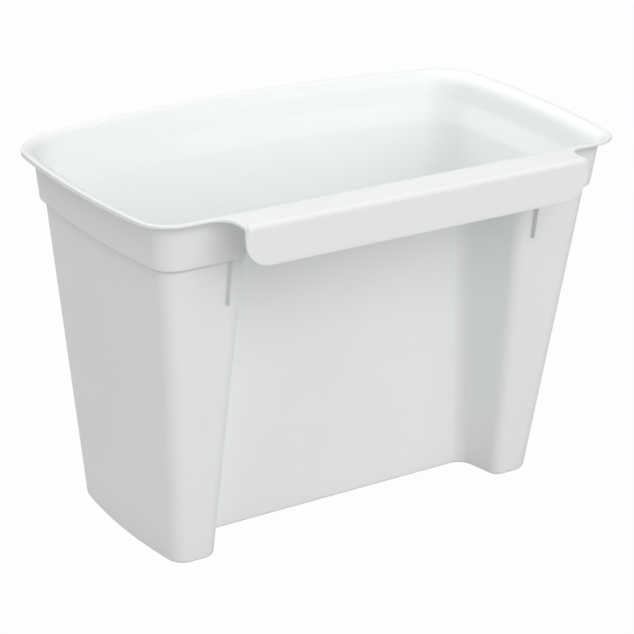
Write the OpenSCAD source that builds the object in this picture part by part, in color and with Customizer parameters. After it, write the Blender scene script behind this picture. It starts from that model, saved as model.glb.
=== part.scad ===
// Over-the-edge waste bin, one white polypropylene moulding.
// Millimetres, +Z up. X runs across the front, -Y is the front (the side with the hanging lip),
// and the origin is the middle of the bin's bounding box, on the surface that it stands on.

/* [Overall] */
// Height from the floor to the top of the rim
height = 230; // [210:1:250]
// Width over the rim, at its widest
rim_width = 329; // [315:1:345]
// Width of the foot, at its widest
foot_width = 269; // [258:1:280]
// Wall thickness
wall = 1.8; // [1.5:0.1:2.4]

/* [Plan shape] */
// How far the back wall bows out in the middle
back_bow = 20.7; // [10:0.1:26]
// How far each side wall bows out
side_bow = 7.8; // [3:0.1:10]
// Radius of the two back corners
back_radius = 16; // [12:1:22]
// Radius of the two front corners
front_radius = 9.2; // [7:0.1:12]

/* [Front recess] */
// Half width of the recess at the columns' front faces, at the foot
recess_half_foot = 101.8; // [96:0.1:106]
// Half width of the recess at the columns' front faces, under the band
recess_half_top = 93.9; // [88:0.1:98]
// Depth of the recess behind the columns' front faces, at the foot
recess_depth_foot = 29.9; // [24:0.1:36]
// Depth of the recess behind the columns' front faces, under the band
recess_depth_top = 44.2; // [36:0.1:50]
// Radius of the recess corners
recess_radius = 9; // [7:0.5:11]
// Distance from the top of the rim down to the front edge of the recess's ceiling
recess_drop = 16; // [14:0.5:18]

/* [Stacking band and rim] */
// Height of the band, from its step to the top of the rim
band_height = 30.8; // [26:0.1:36]
// How far the band stands out from the body
band_step = 3.3; // [2:0.1:4.5]
// How far the rim flares out from the band
rim_flare = 7; // [5:0.1:9]
// Height of the rim's turned-down edge, on the back and the sides
rim_edge = 3.3; // [2.6:0.1:5]

/* [Hanging lip] */
// Length of the lip
lip_length = 227; // [200:1:240]
// Clear gap between the band and the lip's skirt, at the top
lip_gap = 26.4; // [18:0.1:32]
// Height of the skirt, from the top of the rim
skirt_height = 24; // [18:0.1:30]
// Radius of the skirt's two lower corners
skirt_radius = 15; // [8:0.5:17]
// Radius where the lip's ends run into the rim
notch_radius = 11; // [6:0.5:13]

/* [Nesting ribs] */
// Distance of each rib from the middle
rib_x = 104.6; // [103.8:0.1:115]
// Length of each rib, below the band's step
rib_length = 26; // [15:1:40]
// How far each rib stands out at its lower end
rib_depth = 2.4; // [1.2:0.1:3]
// Width of each rib
rib_width = 1.4; // [1.2:0.1:2.4]

/* [Hidden] */
step_z = height - band_height;          // where the band's step ends
wall_top = step_z - 2.2;                // where the walls end and the step begins
flare_z = height - 8;                   // where the rim begins to flare
foot_half = foot_width/2 - side_bow*0.94;
top_half = rim_width/2 - rim_flare - band_step - side_bow;
front_foot = -45.4;
front_step = -73.7;
back_foot = 79.8;
back_step = 84.4;
bow_mid_foot = 29.3;
bow_mid_step = 22;
plastic = [0.93, 0.94, 0.935];

// band and rim at the top of the bin
front_top = front_step + (front_step - front_foot)*(height/step_z - 1);
back_top = back_foot + (back_step - back_foot)*height/step_z;
rim_front = front_top - band_step - rim_flare;
rim_back = back_top + back_bow + band_step + rim_flare;
skirt_front = front_top - band_step - lip_gap - wall;
y_mid = (rim_back + skirt_front)/2;

function lerp(a, b, t) = a + (b - a)*t;
function unit(v) = v/norm(v);

// points on the arc of radius r that rounds the corner p1 of the path p0, p1, p2
function arc(p0, p1, p2, r, n) =
    let (u = unit(p0 - p1), v = unit(p2 - p1), ang = acos(u*v),
         c = p1 + unit(u + v)*r/sin(ang/2), s = p1 + u*r/tan(ang/2),
         a0 = atan2(s[1] - c[1], s[0] - c[0]),
         turn = (u[0]*v[1] - u[1]*v[0] > 0 ? -1 : 1)*(180 - ang))
    [for (i = [0:n]) c + r*[cos(a0 + turn*i/n), sin(a0 + turn*i/n)]];

// the body's outline at height z: 61 points of its right half, from the middle of the recess
// panel to the middle of the back
IH = 60;                                // index of the middle of the back
IF = 21;                                // last point of the column's front face
IC = 28;                                // last point of the front corner
IB = 37;                                // first point of the back corner
function half(z) =
    let (k = z/step_z,
         a = lerp(foot_half, top_half - (top_half - foot_half)*(1 - step_z/height), k),
         yf = lerp(front_foot, front_step, k),
         yb = lerp(back_foot, back_step, k),
         yp = yf + lerp(recess_depth_foot, recess_depth_top, k),
         slant = 0.28*(yp - yf),
         xv = lerp(recess_half_foot, recess_half_top, k),
         p0 = [0, yp], p1 = [xv - slant, yp], p2 = [xv, yf], p3 = [a, yf], p4 = [a, yb], p5 = [0, yb],
         a1 = arc(p0, p1, p2, recess_radius, 6),
         a2 = arc(p1, p2, p3, recess_radius, 6),
         a3 = arc(p2, p3, p4, front_radius, 6),
         a4 = arc(p3, p4, p5, back_radius, 8),
         base = concat([for (i = [0:3]) lerp(p0, a1[0], i/4)], a1,
                       [lerp(a1[6], a2[0], 0.5)], a2,
                       [for (i = [1:3]) lerp(a2[6], a3[0], i/4)], a3,
                       [for (i = [1:8]) lerp(a3[6], a4[0], i/9)], a4,
                       [for (i = [1:15]) lerp(a4[8], p5, i/15)]),
         ym = lerp(bow_mid_foot, bow_mid_step, k), len = ym - yf)
    [for (p = base) [p[0] + side_bow*pow(p[0]/a, 3)*(1 - pow((p[1] - ym)/len, 2)),
                     p[1] + (p[1] > 0 ? back_bow*p[1]/yb*(1 - pow(p[0]/a, 2)) : 0)]];

// a half outline closed to a ring, by its mirror image
function ring(h) = let (n = len(h)) concat(h, [for (i = [n - 2:-1:1]) [-h[i][0], h[i][1]]]);
function normals(r) = let (n = len(r))
    [for (i = [0:n - 1]) let (t = unit(r[(i + 1)%n] - r[(i + n - 1)%n])) [t[1], -t[0]]];
function grow(r, d) = let (m = normals(r)) [for (i = [0:len(r) - 1]) r[i] + d*m[i]];
function at(r, z) = [for (p = r) [p[0], p[1] - y_mid, z]];

function body(z) = ring(half(z));
// the band's outline: it stands out from the body, and runs straight across the recess
function band(z) = let (b = half(z), g = grow(ring(b), band_step),
                        yf = lerp(front_foot, front_step, z/step_z) - band_step)
    ring([for (i = [0:IH]) i <= IF + 1 ? [b[i][0], yf] : g[i]]);

// sweeps a profile round the bin. levels[k] is one ring of the profile's points, and the solid
// runs from index j0 to j1, or all the way round
module swept(levels, j0 = 0, j1 = 0) {
    n = len(levels[0]); m = len(levels); whole = j0 == j1;
    js = whole ? [for (j = [0:n - 1]) j] : [for (j = [j0:j1]) (j + n)%n];
    q = len(js); pts = [for (j = js) for (k = [0:m - 1]) levels[k][j]];
    sides = [for (j = [0:(whole ? q - 1 : q - 2)]) for (k = [0:m - 1])
             let (a = j*m + k, b = j*m + (k + 1)%m, c = ((j + 1)%q)*m + (k + 1)%m, d = ((j + 1)%q)*m + k)
             each [[a, b, c], [a, c, d]]];
    caps = whole ? [] : [for (e = [0, 1]) for (k = [0:m/2 - 2])
             let (o = e*(q - 1)*m, a = o + k, b = o + k + 1, c = o + m - 2 - k, d = o + m - 1 - k)
             each (e == 0 ? [[a, d, c], [a, c, b]] : [[a, c, d], [a, b, c]])];
    polyhedron(points = pts, faces = concat(sides, caps), convexity = 10);
}

// ---- walls, from the foot to the band's step ----
wz = [0, 0.8, 2.5, 70, 135, wall_top];
wo = [-2, -0.7, 0, 0, 0, 0];
foot_ring = grow(body(0), -4);
wall_levels = concat([for (i = [0:5]) at(grow(body(wz[i]), wo[i]), wz[i])],
                     [for (i = [5, 4, 3]) at(grow(body(wz[i]), -wall), wz[i])],
                     [at(grow(body(4.2), -wall), 4.2), at(foot_ring, wall), at(foot_ring, 0)]);

module floor_pan() color(plastic)
    linear_extrude(height = wall) polygon([for (p = at(foot_ring, 0)) [p[0], p[1]]]);
module back_wall() color(plastic) swept(wall_levels, IB, 2*IH - IB);
module right_side_wall() color(plastic) swept(wall_levels, IC, IB);
module left_side_wall() color(plastic) swept(wall_levels, 2*IH - IB, 2*IH - IC);
module right_column() color(plastic) swept(wall_levels, 3, IC);
module left_column() color(plastic) swept(wall_levels, 2*IH - IC, 2*IH - 3);
module recess_panel() color(plastic) swept(wall_levels, -3, 3);

// ---- band: it stands out from the body by a step, and ends at the recess, whose side walls go on
// up to a ceiling that slants forward and up, behind the skirt ----
IE = 16;                                // the band's end, on the round corner of the recess
ceil_z = height - recess_drop;
ceil_low = wall_top + 1.2;
ceil_front = lerp(front_foot, front_step, ceil_z/step_z) - band_step;
ceil_back = half(wall_top)[0][1];
ceil_slope = (ceil_z - ceil_low)/(ceil_back - ceil_front);
ceil_up = wall*(sqrt(1 + ceil_slope*ceil_slope) - ceil_slope);
function in_recess(i, n) = min(i, 2*IH - i) < n;
function ceiling(i) = lerp(ceil_z, ceil_low, (ring_low[i][1] - ceil_front)/(ceil_back - ceil_front));
// the point i at height z, between the same outline's rings at the walls' top and at the flare
function rise(lo, hi, i, z) = let (p = lerp(lo[i], hi[i], (z - wall_top)/(flare_z - wall_top))) [p[0], p[1] - y_mid, z];
ring_low = body(wall_top);
ring_high = body(flare_z);
ring_low_in = grow(ring_low, -wall);
ring_high_in = grow(ring_high, -wall);
out_low = band(wall_top);
out_high = band(flare_z);
out_low_in = grow(out_low, -wall);
out_high_in = grow(out_high, -wall);
shoulder_z = step_z + 12;               // the inside widens gently behind the step, up to here
// a ring that takes the points of one list in the recess, up to index n, and of another elsewhere
function pick(n, inside, outside) = [for (i = [0:2*IH - 1]) in_recess(i, n) ? inside[i] : outside[i]];
all_i = [0:2*IH - 1];
band_levels = [at(ring_low, wall_top),
               pick(IE, [for (i = all_i) rise(ring_low, ring_high, i, ceiling(i))], at(grow(band(step_z), -0.5), step_z - 0.4)),
               pick(IE, [for (i = all_i) rise(out_low, out_high, i, ceil_z)], at(band(step_z), step_z + 0.3)),
               at(out_high, flare_z),
               at(out_high_in, flare_z),
               pick(IE + 1, [for (i = all_i) rise(out_low_in, out_high_in, i, ceil_z + ceil_up)],
                    at(grow(band(shoulder_z), -wall), shoulder_z)),
               pick(IE + 1, [for (i = all_i) rise(ring_low_in, ring_high_in, i, ceiling(i) + ceil_up)],
                    at(ring_low_in, wall_top + 1)),
               at(ring_low_in, wall_top)];
module stacking_band() color(plastic) swept(band_levels);

// ---- rim: flared outwards, with a turned-down edge that dies away at the front ----
function drop(i) = let (j = i > IH ? 2*IH - i : i)
    j <= IC - 2 ? wall + 0.2 : j >= IC + 3 ? rim_edge : lerp(wall + 0.2, rim_edge, (j - IC + 2)/5);
function edge(o, s) = let (r = grow(band(height), o))
    [for (i = [0:len(r) - 1]) [r[i][0], r[i][1] - y_mid, height - s*drop(i)]];
fn = 6;
rim_levels = concat(
    [at(band(flare_z), flare_z)],
    [for (i = [1:fn]) let (q = 90*i/fn) at(grow(band(flare_z + 6*sin(q)), (rim_flare - 1.5)*(1 - cos(q))),
                                           flare_z + (8 - wall - 0.2)*sin(q))],
    [edge(rim_flare - 1.5, 1), edge(rim_flare, 1), at(grow(band(height), rim_flare), height - 0.6),
     at(grow(band(height), rim_flare - 0.6), height)],
    [for (i = [fn:-1:0]) let (q = 90*i/fn) at(grow(band(flare_z + 8*sin(q)), -wall + (rim_flare - 1 + wall)*(1 - cos(q))),
                                              flare_z + 8*sin(q))]);
module rim_flange() color(plastic) swept(rim_levels);

// ---- lip that hangs the bin on an edge ----
bend = 2.6;
module lip_plan() {
    translate([-lip_length/2, skirt_front + bend]) square([lip_length, rim_front - skirt_front - bend]);
    for (s = [-1, 1]) translate([s*lip_length/2, rim_front]) difference() {
        translate([s > 0 ? 0 : -notch_radius, -notch_radius]) square(notch_radius);
        translate([s*notch_radius, -notch_radius]) circle(r = notch_radius, $fn = 96);
    }
}
module lip_section() {
    // drawn with x towards +Y and y up
    difference() {
        translate([skirt_front + bend, height - bend]) circle(r = bend, $fn = 64);
        translate([skirt_front + bend, height - bend]) circle(r = bend - wall, $fn = 64);
        translate([skirt_front + bend, height - 3*bend]) square(4*bend);
        translate([skirt_front - bend, height - 4*bend]) square([4*bend, 3*bend]);
    }
    translate([skirt_front, height - skirt_height]) square([wall, skirt_height - bend]);
}
module hanging_lip() color(plastic) translate([0, -y_mid, 0]) {
    translate([0, 0, height - wall]) linear_extrude(height = wall) lip_plan();
    intersection() {
        rotate([90, 0, 90]) translate([0, 0, -lip_length/2]) linear_extrude(height = lip_length) lip_section();
        // the skirt's outline, with its two lower corners rounded
        translate([0, skirt_front + 10, 0]) rotate([90, 0, 0]) linear_extrude(height = 20) union() {
            translate([-lip_length/2, height - skirt_height + skirt_radius])
                square([lip_length, skirt_height - skirt_radius + 1]);
            translate([-lip_length/2 + skirt_radius, height - skirt_height])
                square([lip_length - 2*skirt_radius, skirt_radius + 1]);
            for (s = [-1, 1]) translate([s*(lip_length/2 - skirt_radius), height - skirt_height + skirt_radius])
                circle(r = skirt_radius, $fn = 96);
        }
    }
}

// ---- ribs that keep stacked bins from jamming ----
function fy(z) = lerp(front_foot, front_step, z/step_z);
module rib(s) color(plastic) translate([s*rib_x - rib_width/2, -y_mid, 0]) rotate([90, 0, 90])
    linear_extrude(height = rib_width)
        polygon([[fy(wall_top), wall_top], [fy(wall_top - rib_length), wall_top - rib_length],
                 [fy(wall_top - rib_length) - rib_depth, wall_top - rib_length],
                 [fy(step_z) - band_step + 0.2, step_z - 0.4]]);
module left_nesting_rib() rib(-1);
module right_nesting_rib() rib(1);

floor_pan();
back_wall();
left_side_wall();
right_side_wall();
left_column();
right_column();
recess_panel();
stacking_band();
rim_flange();
hanging_lip();
left_nesting_rib();
right_nesting_rib();
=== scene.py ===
import math
import bpy
import bmesh
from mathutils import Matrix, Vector
from mathutils.geometry import tessellate_polygon
import numpy as np


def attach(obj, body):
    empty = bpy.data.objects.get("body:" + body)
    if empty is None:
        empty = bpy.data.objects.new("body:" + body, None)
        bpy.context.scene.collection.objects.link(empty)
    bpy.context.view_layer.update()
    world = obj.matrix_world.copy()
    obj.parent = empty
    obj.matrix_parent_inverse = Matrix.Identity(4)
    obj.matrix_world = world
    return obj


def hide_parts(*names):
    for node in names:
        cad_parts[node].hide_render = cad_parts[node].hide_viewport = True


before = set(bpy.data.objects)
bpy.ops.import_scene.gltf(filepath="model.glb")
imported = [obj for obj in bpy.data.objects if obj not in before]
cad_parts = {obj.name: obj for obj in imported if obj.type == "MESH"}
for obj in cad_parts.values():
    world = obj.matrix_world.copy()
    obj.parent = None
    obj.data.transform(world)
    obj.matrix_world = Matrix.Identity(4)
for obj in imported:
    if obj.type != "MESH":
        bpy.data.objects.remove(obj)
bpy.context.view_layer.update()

# ----------------------------------------------------------------------------------------------
# Outline of the bin, the same functions as the CAD source, in millimetres, finer sampled.
# ----------------------------------------------------------------------------------------------
HEIGHT, RIM_W, FOOT_W, WALL = 230.0, 329.0, 269.0, 1.8
BACK_BOW, SIDE_BOW, BACK_R, FRONT_R = 20.7, 7.8, 16.0, 9.2
REC_HALF_FOOT, REC_HALF_TOP, REC_D_FOOT, REC_D_TOP, REC_R = 101.8, 93.9, 29.9, 44.2, 9.0
BAND_H, STEP, FLARE, EDGE = 30.8, 3.3, 7.0, 3.3
LIP_L, LIP_GAP, SKIRT_H, SKIRT_R, NOTCH_R = 227.0, 26.4, 24.0, 15.0, 11.0
STEP_Z = HEIGHT - BAND_H
WALL_TOP = STEP_Z - 2.2
FLARE_Z = HEIGHT - 8.0
FOOT_HALF = FOOT_W/2 - SIDE_BOW*0.94
TOP_HALF = RIM_W/2 - FLARE - STEP - SIDE_BOW
FRONT_FOOT, FRONT_STEP, BACK_FOOT, BACK_STEP = -45.4, -73.7, 79.8, 84.4
MID_FOOT, MID_STEP = 29.3, 22.0
FRONT_TOP = FRONT_STEP + (FRONT_STEP - FRONT_FOOT)*(HEIGHT/STEP_Z - 1)
BACK_TOP = BACK_FOOT + (BACK_STEP - BACK_FOOT)*HEIGHT/STEP_Z
RIM_FRONT = FRONT_TOP - STEP - FLARE
RIM_BACK = BACK_TOP + BACK_BOW + STEP + FLARE
SKIRT_FRONT = FRONT_TOP - STEP - LIP_GAP - WALL
Y_MID = (RIM_BACK + SKIRT_FRONT)/2
A2 = np.array

# how many points each stretch of the half outline has
N_PANEL, N_REC, N_SIDEW, N_REC2, N_FRONT, N_FC, N_SIDE, N_BC, N_BACK = 26, 12, 6, 24, 40, 12, 26, 16, 34


def lerp(a, b, t):
    return a + (b - a)*t


def unit(v):
    return v/np.linalg.norm(v)


def arc(p0, p1, p2, r, n):
    u, v = unit(p0 - p1), unit(p2 - p1)
    ang = math.acos(float(u @ v))
    c = p1 + unit(u + v)*r/math.sin(ang/2)
    s = p1 + u*r/math.tan(ang/2)
    a0 = math.atan2(s[1] - c[1], s[0] - c[0])
    turn = (-1 if u[0]*v[1] - u[1]*v[0] > 0 else 1)*(math.pi - ang)
    return [c + r*A2([math.cos(a0 + turn*i/n), math.sin(a0 + turn*i/n)]) for i in range(n + 1)]


def half(z):
    k = z/STEP_Z
    a = lerp(FOOT_HALF, TOP_HALF - (TOP_HALF - FOOT_HALF)*(1 - STEP_Z/HEIGHT), k)
    yf, yb = lerp(FRONT_FOOT, FRONT_STEP, k), lerp(BACK_FOOT, BACK_STEP, k)
    yp = yf + lerp(REC_D_FOOT, REC_D_TOP, k)
    slant = 0.28*(yp - yf)
    xv = lerp(REC_HALF_FOOT, REC_HALF_TOP, k)
    p = [A2(q, float) for q in ([0, yp], [xv - slant, yp], [xv, yf], [a, yf], [a, yb], [0, yb])]
    a1, a2 = arc(p[0], p[1], p[2], REC_R, N_REC), arc(p[1], p[2], p[3], REC_R, N_REC2)
    a3, a4 = arc(p[2], p[3], p[4], FRONT_R, N_FC), arc(p[3], p[4], p[5], BACK_R, N_BC)
    base = [lerp(p[0], a1[0], i/N_PANEL) for i in range(N_PANEL)] + a1
    base += [lerp(a1[-1], a2[0], i/N_SIDEW) for i in range(1, N_SIDEW)] + a2
    base += [lerp(a2[-1], a3[0], i/N_FRONT) for i in range(1, N_FRONT)] + a3
    base += [lerp(a3[-1], a4[0], i/N_SIDE) for i in range(1, N_SIDE)] + a4
    base += [lerp(a4[-1], p[5], i/N_BACK) for i in range(1, N_BACK + 1)]
    b = np.array(base)
    ym = lerp(MID_FOOT, MID_STEP, k)
    x, y = b[:, 0].copy(), b[:, 1].copy()
    b[:, 0] = x + SIDE_BOW*(x/a)**3*(1 - ((y - ym)/(ym - yf))**2)
    b[:, 1] = y + np.where(y > 0, BACK_BOW*y/yb*(1 - (x/a)**2), 0)
    return b


I_REC_END = N_PANEL + N_REC + 1 + N_SIDEW - 1 + N_REC2            # last point of the recess arcs
I_FRONT_END = I_REC_END + N_FRONT                                  # first point of the front corner
I_FC_END = I_FRONT_END + N_FC
I_BC = I_FC_END + N_SIDE
I_BACK = I_BC + N_BC + N_BACK                                      # middle of the back
NH = I_BACK + 1
N = 2*I_BACK


def ring(h):
    return np.vstack([h, np.stack([-h[-2:0:-1, 0], h[-2:0:-1, 1]], 1)])


def normals(r):
    t = np.roll(r, -1, 0) - np.roll(r, 1, 0)
    t /= np.linalg.norm(t, axis=1)[:, None]
    return np.stack([t[:, 1], -t[:, 0]], 1)


def grow(r, d):
    return r + d*normals(r)


_cache = {}


def body(z):
    if ("b", z) not in _cache:
        _cache["b", z] = ring(half(z))
    return _cache["b", z]


def band(z):
    if ("d", z) not in _cache:
        b = half(z)
        g = grow(ring(b), STEP)
        yf = lerp(FRONT_FOOT, FRONT_STEP, z/STEP_Z) - STEP
        h = np.array([[b[i][0], yf] if i <= I_FRONT_END else g[i] for i in range(NH)])
        _cache["d", z] = ring(h)
    return _cache["d", z]


def at(r, z):
    zz = np.full(len(r), z) if np.isscalar(z) else z
    return np.stack([r[:, 0], r[:, 1] - Y_MID, zz], 1)


def fillet(pts, radii, n):
    """Rounds the corners of an open 2-D path. radii[i] belongs to pts[i]; returns the same count for the same n."""
    out = [pts[0]]
    for i in range(1, len(pts) - 1):
        p0, p1, p2 = A2(pts[i - 1]), A2(pts[i]), A2(pts[i + 1])
        u, v = unit(p0 - p1), unit(p2 - p1)
        ang = math.acos(max(-1, min(1, float(u @ v))))
        lim = 0.45*min(np.linalg.norm(p0 - p1), np.linalg.norm(p2 - p1))
        r = min(radii[i], lim*math.tan(ang/2))
        out += arc(p0, p1, p2, r, n)
    out.append(pts[-1])
    return [A2(q, float) for q in out]


# ----------------------------------------------------------------------------------------------
# The shell, as rings of points: from the floor's inside edge up the inner wall, over the rim or
# the lip, and down the outside to the foot. Every ring has one point per outline point.
# ----------------------------------------------------------------------------------------------
BEND_R = 2.6
V_BEND = (RIM_FRONT + 1.0) - (SKIRT_FRONT + BEND_R)          # v is 0 where the flare ends
V_AFTER = V_BEND + BEND_R*math.pi/2
V_END = V_AFTER + (SKIRT_H - BEND_R)
Z0, Z1 = STEP_Z - 2.4, STEP_Z + 0.4                            # the step's two corners


def unroll(u, v, depth):
    """Points of the lip's sheet, from unrolled coordinates: u along X, v away from the rim's flare."""
    a = np.clip((v - V_BEND)/BEND_R, 0, math.pi/2)
    rr = BEND_R - depth
    y = np.where(v <= V_BEND, RIM_FRONT + 1.0 - v, SKIRT_FRONT + BEND_R - rr*np.sin(a))
    z = np.where(v <= V_BEND, HEIGHT - depth, HEIGHT - BEND_R + rr*np.cos(a)) - np.maximum(0.0, v - V_AFTER)
    return np.stack([u, y - Y_MID, z], 1)


def lip_edge():
    """For each outline point under the lip, its place on the lip's free edge, unrolled."""
    e = [(x, V_END) for x in np.linspace(0, LIP_L/2 - SKIRT_R, 60)]
    for i in range(1, 49):
        q = math.radians(90*i/48)
        e.append((LIP_L/2 - SKIRT_R + SKIRT_R*math.sin(q), V_END - SKIRT_R + SKIRT_R*math.cos(q)))
    e += [(LIP_L/2, v) for v in np.linspace(V_END - SKIRT_R, NOTCH_R + 1.0, 30)[1:]]
    for i in range(1, 41):
        q = math.radians(90*i/40)
        e.append((LIP_L/2 + NOTCH_R*(1 - math.cos(q)), 1.0 + NOTCH_R*(1 - math.sin(q))))
    e = np.array(e, float)
    s = np.concatenate([[0], np.cumsum(np.linalg.norm(np.diff(e, axis=0), axis=1))])
    xs = grow(band(HEIGHT), FLARE - 1.0)[:NH, 0]
    jl = int(np.argmin(np.abs(xs[:I_FRONT_END] - (LIP_L/2 + NOTCH_R))))
    j1 = int(np.searchsorted(xs[:jl], 62.0))
    su = xs[:jl + 1].copy()
    su[j1:] = lerp(xs[j1], s[-1], np.arange(jl - j1 + 1)/(jl - j1))
    return jl, xs[:jl + 1], np.interp(su, s, e[:, 0]), np.interp(su, s, e[:, 1])


def between(kind, d, z):
    """The body's or the band's outline, grown by d, with its own height for every point."""
    lo, hi = grow(kind(WALL_TOP), d), grow(kind(FLARE_Z), d)
    return lerp(lo, hi, ((z - WALL_TOP)/(FLARE_Z - WALL_TOP))[:, None])


CEIL_Z = HEIGHT - 16.0                                          # front edge of the recess's ceiling
SHOULDER_Z = STEP_Z + 12.0                                      # the inside widens gently up to here
J_END = I_REC_END - N_REC2//3                                   # where the band ends, on the recess's round corner


def step_rings(inner):
    """The step between the body and the band. In the recess it is the slanted ceiling instead. Also returns the
    heights that the last ring has."""
    off = -WALL if inner else 0.0
    idx = np.arange(N)
    hj = np.minimum(idx, N - idx)
    t = np.clip((hj - (J_END + (1 if inner else -3)))/3.0, 0, 1)
    rec = 1 - t*t*(3 - 2*t)                                      # 1 in the recess, 0 on the rest of the outline
    front = lerp(FRONT_FOOT, FRONT_STEP, CEIL_Z/STEP_Z) - STEP
    backy, low = half(WALL_TOP)[0][1], WALL_TOP + 1.2
    slope = (CEIL_Z - low)/(backy - front)
    lo_z, hi_z = (STEP_Z - 1.6, SHOULDER_Z) if inner else (Z0, Z1)
    yb = grow(body(WALL_TOP), off)[:, 1]
    yd = grow(band(CEIL_Z), off)[:, 1]
    z0 = lerp(np.full(N, lo_z), CEIL_Z - slope*(yb - front), rec)
    z1 = lerp(np.full(N, hi_z), CEIL_Z - slope*(yd - front), rec)
    B, D = between(body, off, z0), between(band, off, z0)
    vec = D - B
    dist = np.linalg.norm(vec, axis=1)
    e = vec/dist[:, None]
    cols = []
    for j in range(N):
        m = (z1[j] - z0[j])/dist[j]
        up = (WALL*math.sqrt(1 + m*m) - m*WALL) if inner and rec[j] > 0 else 0.0
        up *= rec[j] if inner else 1
        r0 = min(0.25*dist[j], 3.0) + (1.0 if inner else 0.0)
        r1 = 1.2 if inner else 0.8
        if inner:                                               # the gentle shoulder
            r0, r1 = lerp(9.0, r0, rec[j]), lerp(14.0, r1, rec[j])
        a = lerp(6.0 if inner else 4.0, 4.0, rec[j])
        p = fillet([(0, z0[j] + up - a), (0, z0[j] + up), (dist[j], z1[j] + up), (dist[j], z1[j] + up + 4)],
                   [0, r0, r1, 0], 5)
        cols.append(p[1:7] + [lerp(p[6], p[7], i/6) for i in range(1, 6)] + p[7:])
    out = []
    for k in range(len(cols[0])):
        d = np.array([cols[j][k][0] for j in range(N)])
        z = np.array([cols[j][k][1] for j in range(N)])
        # the walls lean, so the path leans with them
        lean = between(body, off, z) - between(body, off, z0)
        out.append(at(B + e*d[:, None] + lean, z))
    return out, z


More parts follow.
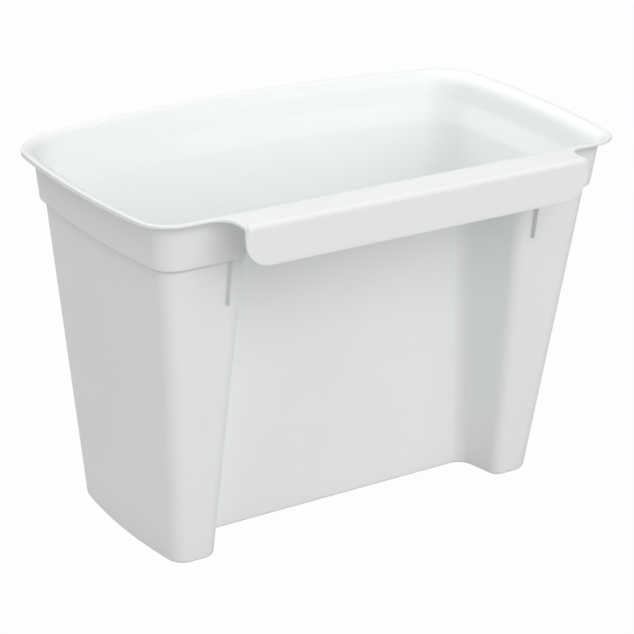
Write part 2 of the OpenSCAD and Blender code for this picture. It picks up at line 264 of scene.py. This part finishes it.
def shell_rings():
    L = []
    for d in (-7.4, -6.8, -6.2):                               # the floor's flat edge, inside
        L.append(at(grow(body(0), d), WALL))
    for i in range(1, 7):                                      # fillet up into the wall
        q = math.radians(90*i/6)
        z = WALL + 4.4*(1 - math.cos(q))
        L.append(at(grow(body(z), -6.2 + 4.4*math.sin(q)), z))
    for i in range(1, 15):
        z = lerp(WALL + 4.4, 188.0, i/14)
        L.append(at(grow(body(z), -WALL), z))
    rows, zt = step_rings(True)
    L += rows
    for i in (1, 2, 3):
        z = lerp(zt, np.full(N, FLARE_Z), i/3)
        L.append(at(between(band, -WALL, z), z))
    for i in range(1, 11):                                     # the flare's upper face
        q = math.radians(90*i/10)
        z = FLARE_Z + 8*math.sin(q)
        L.append(at(grow(band(z), -WALL + (FLARE - 1 + WALL)*(1 - math.cos(q))), z))

    # outside the flare: a narrow rim edge, or the lip's sheet
    jl, uq, eu, ev = lip_edge()
    top = band(HEIGHT)
    tn = normals(top)
    idx = np.arange(N)
    hj = np.minimum(idx, N - idx)                              # index in the half outline
    sgn = np.where(idx <= I_BACK, 1.0, -1.0)
    lip = hj <= jl
    hl = np.minimum(hj, jl)
    w = np.clip((hj - (I_FRONT_END + 2))/(N_FC + 4.0), 0, 1)   # the turned-down edge grows round the corner
    w = w*w*(3 - 2*w)

    def sheet(inset_from_end=None, frac=None, depth=None, low=0.0):
        """A ring of the sheet, frac of the way from v = low to its free edge, or inset from that edge."""
        if frac is None:
            v = ev[hl] - inset_from_end
            off = FLARE - inset_from_end
        else:
            e_in = inset_from_end
            end = ev[hl] - e_in
            # rows gather in the bend, where the sheet goes round it
            a, b = frac
            v1 = np.minimum(end, V_BEND)
            v2 = np.clip(end, V_BEND, V_AFTER)
            v = np.where(a == 0, lerp(low, v1, b), np.where(a == 1, lerp(v1, np.minimum(v2, end), b), lerp(np.minimum(v2, end), end, b)))
            short = end < V_AFTER + 0.5
            t = (a*8 + b*8)/24.0
            v = np.where(short, lerp(low, end, t), v)
            off = lerp(FLARE - 1 + low, FLARE - e_in, t)
        u = uq[hl] + (eu[hl] - uq[hl])*v/ev[hl]
        P = unroll(u, v, depth)
        P[:, 0] *= sgn
        xy = top + tn*np.broadcast_to(off, (N,))[:, None]
        F = np.stack([xy[:, 0], xy[:, 1] - Y_MID, np.broadcast_to(HEIGHT - depth, (N,))], 1)
        return np.where(lip[:, None], P, F)

    zero = np.zeros(N)
    for k in range(1, 25):
        a, b = (k - 1)//8, ((k - 1) % 8 + 1)/8
        L.append(sheet(0.6, (a, b), zero))
    lo = np.full(N, WALL)
    # the free edge: inset and depth of each row, without and with the turned-down edge
    plain = [(0.28, 0.08), (0.08, 0.28), (0, 0.6), (0, 1.2), (0.08, WALL - 0.28), (0.28, WALL - 0.08), (0.6, WALL),
             (1.0, WALL), (1.3, WALL), (1.5, WALL)]
    bead = [(0.28, 0.08), (0.08, 0.28), (0, 0.6), (0, EDGE - 0.5), (0.08, EDGE - 0.2), (0.3, EDGE - 0.05), (0.55, EDGE),
            (1.1, EDGE - 0.12), (1.4, EDGE - 0.5), (1.55, WALL + 0.25)]
    for (i0, d0), (i1, d1) in zip(plain, bead):
        ins, dep = lerp(i0, i1, w), lerp(d0, d1, w)
        L.append(sheet(ins, None, dep))
    for k in range(24, 0, -1):
        a, b = (k - 1)//8, ((k - 1) % 8)/8
        L.append(sheet(1.6, (a, b), lo, low=-0.6))
    for i in range(10, -1, -1):                                # the flare's underside
        q = math.radians(90*i/10)
        z = FLARE_Z - 0.9 + (8 - WALL + 0.9)*math.sin(q)
        if i < 10:
            L.append(at(grow(band(z), (FLARE - 1.6)*(1 - math.cos(q))), z))
    rows, zt = step_rings(False)
    for i in (2, 1):
        z = lerp(zt, np.full(N, FLARE_Z - 0.9), i/3)
        L.append(at(between(band, 0.0, z), z))
    L += rows[::-1]
    for i in range(14, -1, -1):
        z = lerp(2.4, 188.0, i/14)
        L.append(at(body(z), z))
    for i in range(5, -1, -1):                                 # the foot's small radius
        q = math.radians(90*i/6)
        z = 2.4*(1 - math.cos(q))
        L.append(at(grow(body(z), -2.4*(1 - math.sin(q))), z))
    L.append(at(grow(body(0), -4.4), 0.0))
    L.append(at(grow(body(0), -5.4), 0.0))
    L.append(at(grow(body(0), -5.9), 0.3))
    L.append(at(grow(body(0), -6.5), 0.5))
    L.append(at(grow(body(0), -7.4), 0.5))
    return L


def make_shell():
    L = shell_rings()
    bm = bmesh.new()
    vs = [[bm.verts.new(Vector(p)*0.001) for p in r] for r in L]
    for a, b in zip(vs[:-1], vs[1:]):
        for j in range(N):
            k = (j + 1) % N
            bm.faces.new((a[j], a[k], b[k], b[j]))
    for r in (L[0], L[-1]):                                    # the floor's two faces
        ring_vs = vs[0] if r is L[0] else vs[-1]
        for tri in tessellate_polygon([[Vector((p[0], p[1], 0)) for p in r]]):
            bm.faces.new([ring_vs[i] for i in tri])
    bmesh.ops.remove_doubles(bm, verts=bm.verts, dist=1e-7)
    bmesh.ops.recalc_face_normals(bm, faces=bm.faces)
    me = bpy.data.meshes.new("bin_shell")
    bm.to_mesh(me)
    bm.free()
    for p in me.polygons:
        p.use_smooth = True
    o = bpy.data.objects.new("bin_shell", me)
    bpy.context.collection.objects.link(o)
    return o


# ----------------------------------------------------------------------------------------------
# The two small ribs under the band, one on each column's front face
# ----------------------------------------------------------------------------------------------
RIB_X, RIB_L, RIB_W = 104.6, 26.0, 1.4


def make_rib(side, name):
    def fy(z):
        return lerp(FRONT_FOOT, FRONT_STEP, z/STEP_Z)
    zt, zb = WALL_TOP, WALL_TOP - RIB_L
    prof = [(fy(zt) + 0.9, zt + 1.2), (fy(zb) + 0.9, zb), (fy(zb) - 2.9, zb), (fy(STEP_Z) - STEP, zt + 1.7)]
    bm = bmesh.new()
    faces = []
    for s in (-1, 1):                                          # wide at the root, narrow at the ridge
        faces.append([bm.verts.new(Vector((side*RIB_X + s*w/2, y - Y_MID, z))*0.001)
                      for (y, z), w in zip(prof, (RIB_W + 0.6, RIB_W + 0.6, RIB_W - 0.8, RIB_W - 0.8))])
    a, b = faces
    bm.faces.new(a)
    bm.faces.new(b[::-1])
    for i in range(4):
        j = (i + 1) % 4
        bm.faces.new((a[i], b[i], b[j], a[j]))
    bmesh.ops.recalc_face_normals(bm, faces=bm.faces)
    bmesh.ops.bevel(bm, geom=bm.edges[:], offset=0.0002, segments=2, profile=0.5, affect="EDGES")
    me = bpy.data.meshes.new(name)
    bm.to_mesh(me)
    bm.free()
    for p in me.polygons:
        p.use_smooth = True
    o = bpy.data.objects.new(name, me)
    bpy.context.collection.objects.link(o)
    return o


# ----------------------------------------------------------------------------------------------
# White polypropylene: satin, with a very fine moulded texture and a trace of flow marks
# ----------------------------------------------------------------------------------------------
# painted_shade_tone scales the base colour: at 1.0 nothing is painted, below 1.0 it paints shade into the colour
def plastic(name, painted_shade_tone=1.0):
    m = bpy.data.materials.new(name)
    m.use_nodes = True
    nt = m.node_tree
    nt.nodes.clear()
    out = nt.nodes.new("ShaderNodeOutputMaterial")
    b = nt.nodes.new("ShaderNodeBsdfPrincipled")
    nt.links.new(b.outputs["BSDF"], out.inputs["Surface"])
    tc = nt.nodes.new("ShaderNodeTexCoord")
    # slow variation of colour, as the melt spreads
    big = nt.nodes.new("ShaderNodeTexNoise")
    big.inputs["Scale"].default_value = 14.0
    big.inputs["Detail"].default_value = 3.0
    nt.links.new(tc.outputs["Object"], big.inputs["Vector"])
    ramp = nt.nodes.new("ShaderNodeValToRGB")
    ramp.color_ramp.elements[0].position = 0.3
    ramp.color_ramp.elements[0].color = (0.893*painted_shade_tone, 0.914*painted_shade_tone, 0.903*painted_shade_tone, 1)
    ramp.color_ramp.elements[1].position = 0.7
    ramp.color_ramp.elements[1].color = (0.913*painted_shade_tone, 0.932*painted_shade_tone, 0.922*painted_shade_tone, 1)
    nt.links.new(big.outputs["Fac"], ramp.inputs["Fac"])
    nt.links.new(ramp.outputs["Color"], b.inputs["Base Color"])
    # roughness: satin, a little uneven
    mid = nt.nodes.new("ShaderNodeTexNoise")
    mid.inputs["Scale"].default_value = 60.0
    mid.inputs["Detail"].default_value = 4.0
    nt.links.new(tc.outputs["Object"], mid.inputs["Vector"])
    mr = nt.nodes.new("ShaderNodeMapRange")
    mr.inputs["To Min"].default_value = 0.40
    mr.inputs["To Max"].default_value = 0.50
    nt.links.new(mid.outputs["Fac"], mr.inputs["Value"])
    nt.links.new(mr.outputs["Result"], b.inputs["Roughness"])
    # fine spark-eroded texture, and the faint waviness of a thin wall
    fine = nt.nodes.new("ShaderNodeTexNoise")
    fine.inputs["Scale"].default_value = 1800.0
    fine.inputs["Detail"].default_value = 2.0
    nt.links.new(tc.outputs["Object"], fine.inputs["Vector"])
    bump1 = nt.nodes.new("ShaderNodeBump")
    bump1.inputs["Strength"].default_value = 0.25
    bump1.inputs["Distance"].default_value = 0.00006
    nt.links.new(fine.outputs["Fac"], bump1.inputs["Height"])
    wave = nt.nodes.new("ShaderNodeTexNoise")
    wave.inputs["Scale"].default_value = 22.0
    wave.inputs["Detail"].default_value = 1.0
    nt.links.new(tc.outputs["Object"], wave.inputs["Vector"])
    bump2 = nt.nodes.new("ShaderNodeBump")
    bump2.inputs["Strength"].default_value = 0.25
    bump2.inputs["Distance"].default_value = 0.0006
    nt.links.new(wave.outputs["Fac"], bump2.inputs["Height"])
    nt.links.new(bump1.outputs["Normal"], bump2.inputs["Normal"])
    nt.links.new(bump2.outputs["Normal"], b.inputs["Normal"])
    b.inputs["IOR"].default_value = 1.49
    b.inputs["Subsurface Weight"].default_value = 0.0
    return m


mat = plastic("white_polypropylene")
rib_painted_shade_mat = plastic("white_polypropylene_rib_painted_shade", 0.78)             # painted shade: base colour darkened to 0.78 of the shell's, standing in for the shade on the thin ribs' flanks
shell = make_shell()
ribs = [make_rib(-1, "nesting_rib_left"), make_rib(1, "nesting_rib_right")]
for o in [shell] + ribs:
    # the ribs take the material with painted shade in its base colour
    o.data.materials.append(mat if o == shell else rib_painted_shade_mat)
    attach(o, "root")
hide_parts("floor_pan", "back_wall", "left_side_wall", "right_side_wall", "left_column", "right_column",
            "recess_panel", "stacking_band", "rim_flange", "hanging_lip")
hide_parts("left_nesting_rib")
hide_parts("right_nesting_rib")

# ----------------------------------------------------------------------------------------------
# Floor, light and camera
# ----------------------------------------------------------------------------------------------
sc = bpy.context.scene
sc.view_settings.view_transform = "Standard"
sc.view_settings.look = "None"
sc.cycles.max_bounces = 16
sc.cycles.diffuse_bounces = 10                                 # light that enters a white bin bounces many times


def plane(name, size, z, color, glow):
    m = bpy.data.materials.new(name)
    m.use_nodes = True
    p = m.node_tree.nodes["Principled BSDF"]
    p.inputs["Base Color"].default_value = (color, color, color, 1)
    p.inputs["Roughness"].default_value = 1.0
    p.inputs["Specular IOR Level"].default_value = 0.0
    p.inputs["Emission Color"].default_value = (1, 1, 1, 1)
    p.inputs["Emission Strength"].default_value = glow
    g = bmesh.new()
    bmesh.ops.create_grid(g, x_segments=1, y_segments=1, size=size)
    me = bpy.data.meshes.new(name)
    g.to_mesh(me)
    g.free()
    o = bpy.data.objects.new(name, me)
    o.location = (0, 0, z)
    bpy.context.collection.objects.link(o)
    me.materials.append(m)
    return o


# the white paper that the bin stands on: what the camera sees, overexposed as in a cut-out, and the
# paper that throws light back
floor = plane("floor", 6.0, -0.0002, 0.0, 0.985)
floor.data.materials[0].cycles.emission_sampling = "NONE"
floor.visible_diffuse = floor.visible_glossy = floor.visible_transmission = floor.visible_shadow = False
bounce = plane("floor_bounce", 6.0, -0.0003, 0.2, 0.230)
bounce.visible_camera = False

world = bpy.data.worlds.new("studio")
sc.world = world
world.use_nodes = True
wt = world.node_tree
bg = wt.nodes["Background"]
bg.inputs["Color"].default_value = (1.0, 1.0, 1.0, 1)
bg.inputs["Strength"].default_value = 0.1
seen = wt.nodes.new("ShaderNodeBackground")
seen.inputs["Color"].default_value = (1.0, 1.0, 1.0, 1)
seen.inputs["Strength"].default_value = 0.985
path = wt.nodes.new("ShaderNodeLightPath")
mixw = wt.nodes.new("ShaderNodeMixShader")
wt.links.new(path.outputs["Is Camera Ray"], mixw.inputs["Fac"])
wt.links.new(bg.outputs["Background"], mixw.inputs[1])
wt.links.new(seen.outputs["Background"], mixw.inputs[2])
wt.links.new(mixw.outputs["Shader"], wt.nodes["World Output"].inputs["Surface"])


def soft(name, az, el, energy, spread=50.0):
    """A large soft light, far away. Azimuth 0 is in front of the bin, 90 at its right."""
    l = bpy.data.lights.new(name, "SUN")
    l.energy = energy
    l.angle = math.radians(spread)
    o = bpy.data.objects.new(name, l)
    a, e = math.radians(az), math.radians(el)
    d = Vector((math.sin(a)*math.cos(e), -math.cos(a)*math.cos(e), math.sin(e)))
    o.rotation_euler = (-d).to_track_quat("-Z", "Y").to_euler()
    bpy.context.collection.objects.link(o)
    return o


soft("back_left", -150, 55, 1.23)
soft("front_low", 0, 25, 1.21)
soft("back", 180, 55, 0.92)
soft("left_low", -75, 5, 0.84)
soft("right_front", 35, 25, 0.56)
soft("front_high", 0, 55, 0.30)
soft("left_back", -110, 25, 0.27)

AZ, EL, DIST, TX, TZ, F_PX = -30.993, 22.408, 1.301953, -0.004306, 0.117495, 2120.976
cam = bpy.data.cameras.new("camera")
cam.sensor_width = 36.0
cam.lens = F_PX*36.0/634.0
cam.clip_start = 0.05
cam.clip_end = 50.0
co = bpy.data.objects.new("camera", cam)
az, el = math.radians(AZ), math.radians(EL)
back = Vector((math.sin(az)*math.cos(el), -math.cos(az)*math.cos(el), math.sin(el)))
target = Vector((TX, -Y_MID*0.001, TZ))
co.location = target + back*DIST
co.rotation_euler = (-back).to_track_quat("-Z", "Y").to_euler()
bpy.context.collection.objects.link(co)
sc.camera = co
